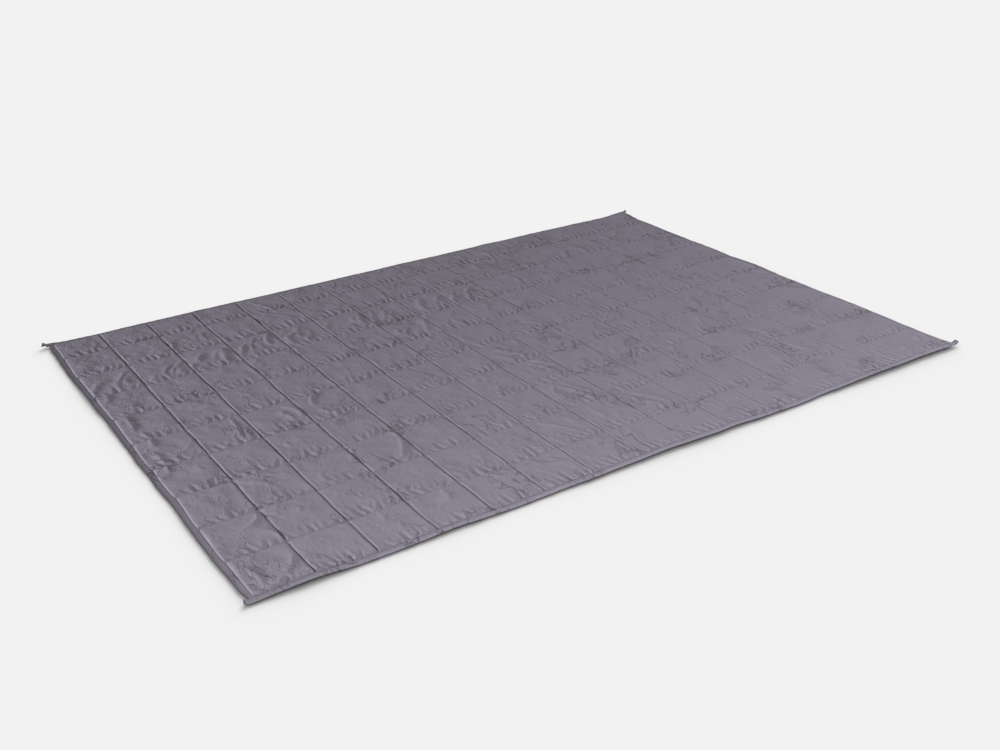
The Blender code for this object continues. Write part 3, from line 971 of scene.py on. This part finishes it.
def make_topstitching():
    """The line of stitches that closes the binding, just outside its lip."""
    out, up = TOPSTITCH_OUT, SEAM_TOP + TOPSTITCH_RISE
    for side in ("left", "right"):
        ends = (-SIDE_X, SPLIT_X) if side == "left" else (SPLIT_X, SIDE_X)
        x = np.arange(*ends, BINDING_STEP)
        front = run_of_stitches(x, np.full(len(x), SEAM_Y[0] - out), np.full(len(x), up))
        back = run_of_stitches(x, np.full(len(x), SEAM_Y[-1] + out), np.full(len(x), up))
        piece = stitch_mesh(f"binding_topstitching_{side}", *joined(front, back))
        bend_over_fold(piece, side)
        y = np.arange(SEAM_Y[0], SEAM_Y[-1], BINDING_STEP)
        at = SEAM_X[0] - out if side == "left" else SEAM_X[-1] + out
        edge = run_of_stitches(np.full(len(y), at), y, np.full(len(y), up))
        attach(stitch_mesh(f"side_topstitching_{side}", *edge), side + "_panel")


# ---------------------------------------------------------------------------------------------
# Floor, lights and camera

SUN_SHARE = 0.75  # light of the low sun on the floor, over that of the white surround
FLOOR_SHADE = 0.888  # how bright the lit floor looks, and the backdrop behind it
FLOOR_GAP = 0.0003


def make_floor():
    reach = 30.0
    corners = np.array([(-reach, -reach, 0), (reach, -reach, 0), (reach, reach, 0), (-reach, reach, 0)])
    material = bpy.data.materials.new("floor")
    material.use_nodes = True
    shader = material.node_tree.nodes["Principled BSDF"]
    shade = FLOOR_SHADE / (1 + SUN_SHARE)
    shader.inputs["Base Color"].default_value = (shade, shade, shade, 1)
    shader.inputs["Roughness"].default_value = 1.0
    shader.inputs["Specular IOR Level"].default_value = 0.0
    floor = mesh_from("floor", corners, np.array([[0, 1, 2, 3]]), material)
    floor.location.z = -FLOOR_GAP
    return floor


def soft_light(name, at, towards, size, power, receivers):
    """A rectangular light that shows neither itself nor a gloss. Only the receivers get its light."""
    data = bpy.data.lights.new(name, "AREA")
    data.shape = "RECTANGLE"
    data.size, data.size_y = size
    data.energy = power
    light = bpy.data.objects.new(name, data)
    bpy.context.scene.collection.objects.link(light)
    light.location = at
    light.rotation_euler = (Vector(towards) - light.location).to_track_quat("-Z", "Y").to_euler()
    light.visible_camera = False
    light.visible_glossy = False
    light.light_linking.receiver_collection = receivers


def low_sun(name, heading, elevation, spread, energy, receivers):
    """Light that comes in low along heading = (X, Y). Elevation and spread are in degrees."""
    data = bpy.data.lights.new(name, "SUN")
    data.energy = energy
    data.angle = math.radians(spread)
    sun = bpy.data.objects.new(name, data)
    bpy.context.scene.collection.objects.link(sun)
    drop = math.hypot(*heading) * math.tan(math.radians(elevation))
    sun.rotation_euler = Vector((*heading, -drop)).to_track_quat("-Z", "Y").to_euler()
    sun.visible_glossy = False
    sun.light_linking.receiver_collection = receivers


def floor_sun(floor):
    """Low soft light from the back right, only on the floor. It draws the quilt's soft shadow."""
    only_floor = bpy.data.collections.new("lit_floor")
    only_floor.objects.link(floor)
    elevation = 24
    energy = math.pi * SUN_SHARE / math.sin(math.radians(elevation))
    low_sun("floor_sun", (-1.0, -1.0), elevation, 50, energy, only_floor)


def make_surround():
    """An even white surround, which the camera sees in the floor's shade, so that no horizon shows."""
    scene = bpy.context.scene
    scene.world = scene.world or bpy.data.worlds.new("studio")
    scene.world.use_nodes = True
    tree = scene.world.node_tree
    light_path = node(tree, "ShaderNodeLightPath")
    colours = node(tree, "ShaderNodeMix", data_type="RGBA")
    colours.inputs[6].default_value = (1, 1, 1, 1)
    colours.inputs[7].default_value = (FLOOR_SHADE, FLOOR_SHADE, FLOOR_SHADE, 1)
    tree.links.new(light_path.outputs["Is Camera Ray"], colours.inputs["Factor"])
    tree.links.new(colours.outputs[2], tree.nodes["Background"].inputs["Color"])
    tree.nodes["Background"].inputs["Strength"].default_value = 1.0


def quilt_pieces(name, floor, start=""):
    """A collection of the quilt's pieces whose names begin with start."""
    pieces = bpy.data.collections.new(name)
    for obj in bpy.context.scene.objects:
        if obj.type == "MESH" and obj is not floor and obj.name.startswith(start):
            pieces.objects.link(obj)
    return pieces


def make_lights(floor):
    """Soft lights that only the quilt receives, as the backdrop is cut out, and a low sun for the floor.

    The two lowest lights on the quilt reach its upper fabric only, as upright folded fabric would glare.
    """
    quilt = quilt_pieces("lit_quilt", floor)
    upper_side = quilt_pieces("lit_upper_side", floor, "top_shell")
    floor_sun(floor)
    soft_light("front", (0.45, -1.65, 1.15), (0.45, -0.6, 0), (3.2, 0.7), 119.0, quilt)
    soft_light("right", (1.60, -0.20, 0.90), (1.0, 0.0, 0), (0.8, 1.2), 11.0, quilt)
    soft_light("left_front", (-0.90, -1.30, 0.90), (-0.9, -0.6, 0), (1.2, 0.5), 10.0, quilt)
    soft_light("side", (-2.20, 0.00, 0.26), (-0.3, 0.0, 0), (2.0, 0.20), 76.0, upper_side)
    soft_light("back", (0.20, 2.20, 0.40), (0.1, 0.0, 0), (3.2, 0.3), 6.0, quilt)
    low_sun("left_sun", (1.0, -0.35), 12, 9, 10.5, upper_side)


CAMERA_AT = Vector((-1.5719, -2.4159, 1.2947))
CAMERA_LOOKS_AT = Vector((-0.0882, -0.1580, 0.0))
CAMERA_ROLL = -0.0132
LENS_MM = 42.285


def make_camera():
    data = bpy.data.cameras.new("camera")
    data.sensor_width = 36.0
    data.lens = LENS_MM
    camera = bpy.data.objects.new("camera", data)
    bpy.context.scene.collection.objects.link(camera)
    turn = (CAMERA_LOOKS_AT - CAMERA_AT).to_track_quat("-Z", "Y").to_matrix().to_4x4()
    camera.matrix_world = Matrix.Translation(CAMERA_AT) @ turn @ Matrix.Rotation(CAMERA_ROLL, 4, "Z")
    bpy.context.scene.camera = camera
    view = bpy.context.scene.view_settings
    view.view_transform = "Standard"
    view.look = "None"


make_shells()
make_batting()
for quilt_side in ("left", "right"):
    for quilt_edge in ("front", "back"):
        make_long_edge_band(quilt_side, quilt_edge)
    make_side_band(quilt_side)
make_column_stitching()
make_row_stitching()
make_topstitching()
studio_floor = make_floor()
make_surround()
make_lights(studio_floor)
make_camera()
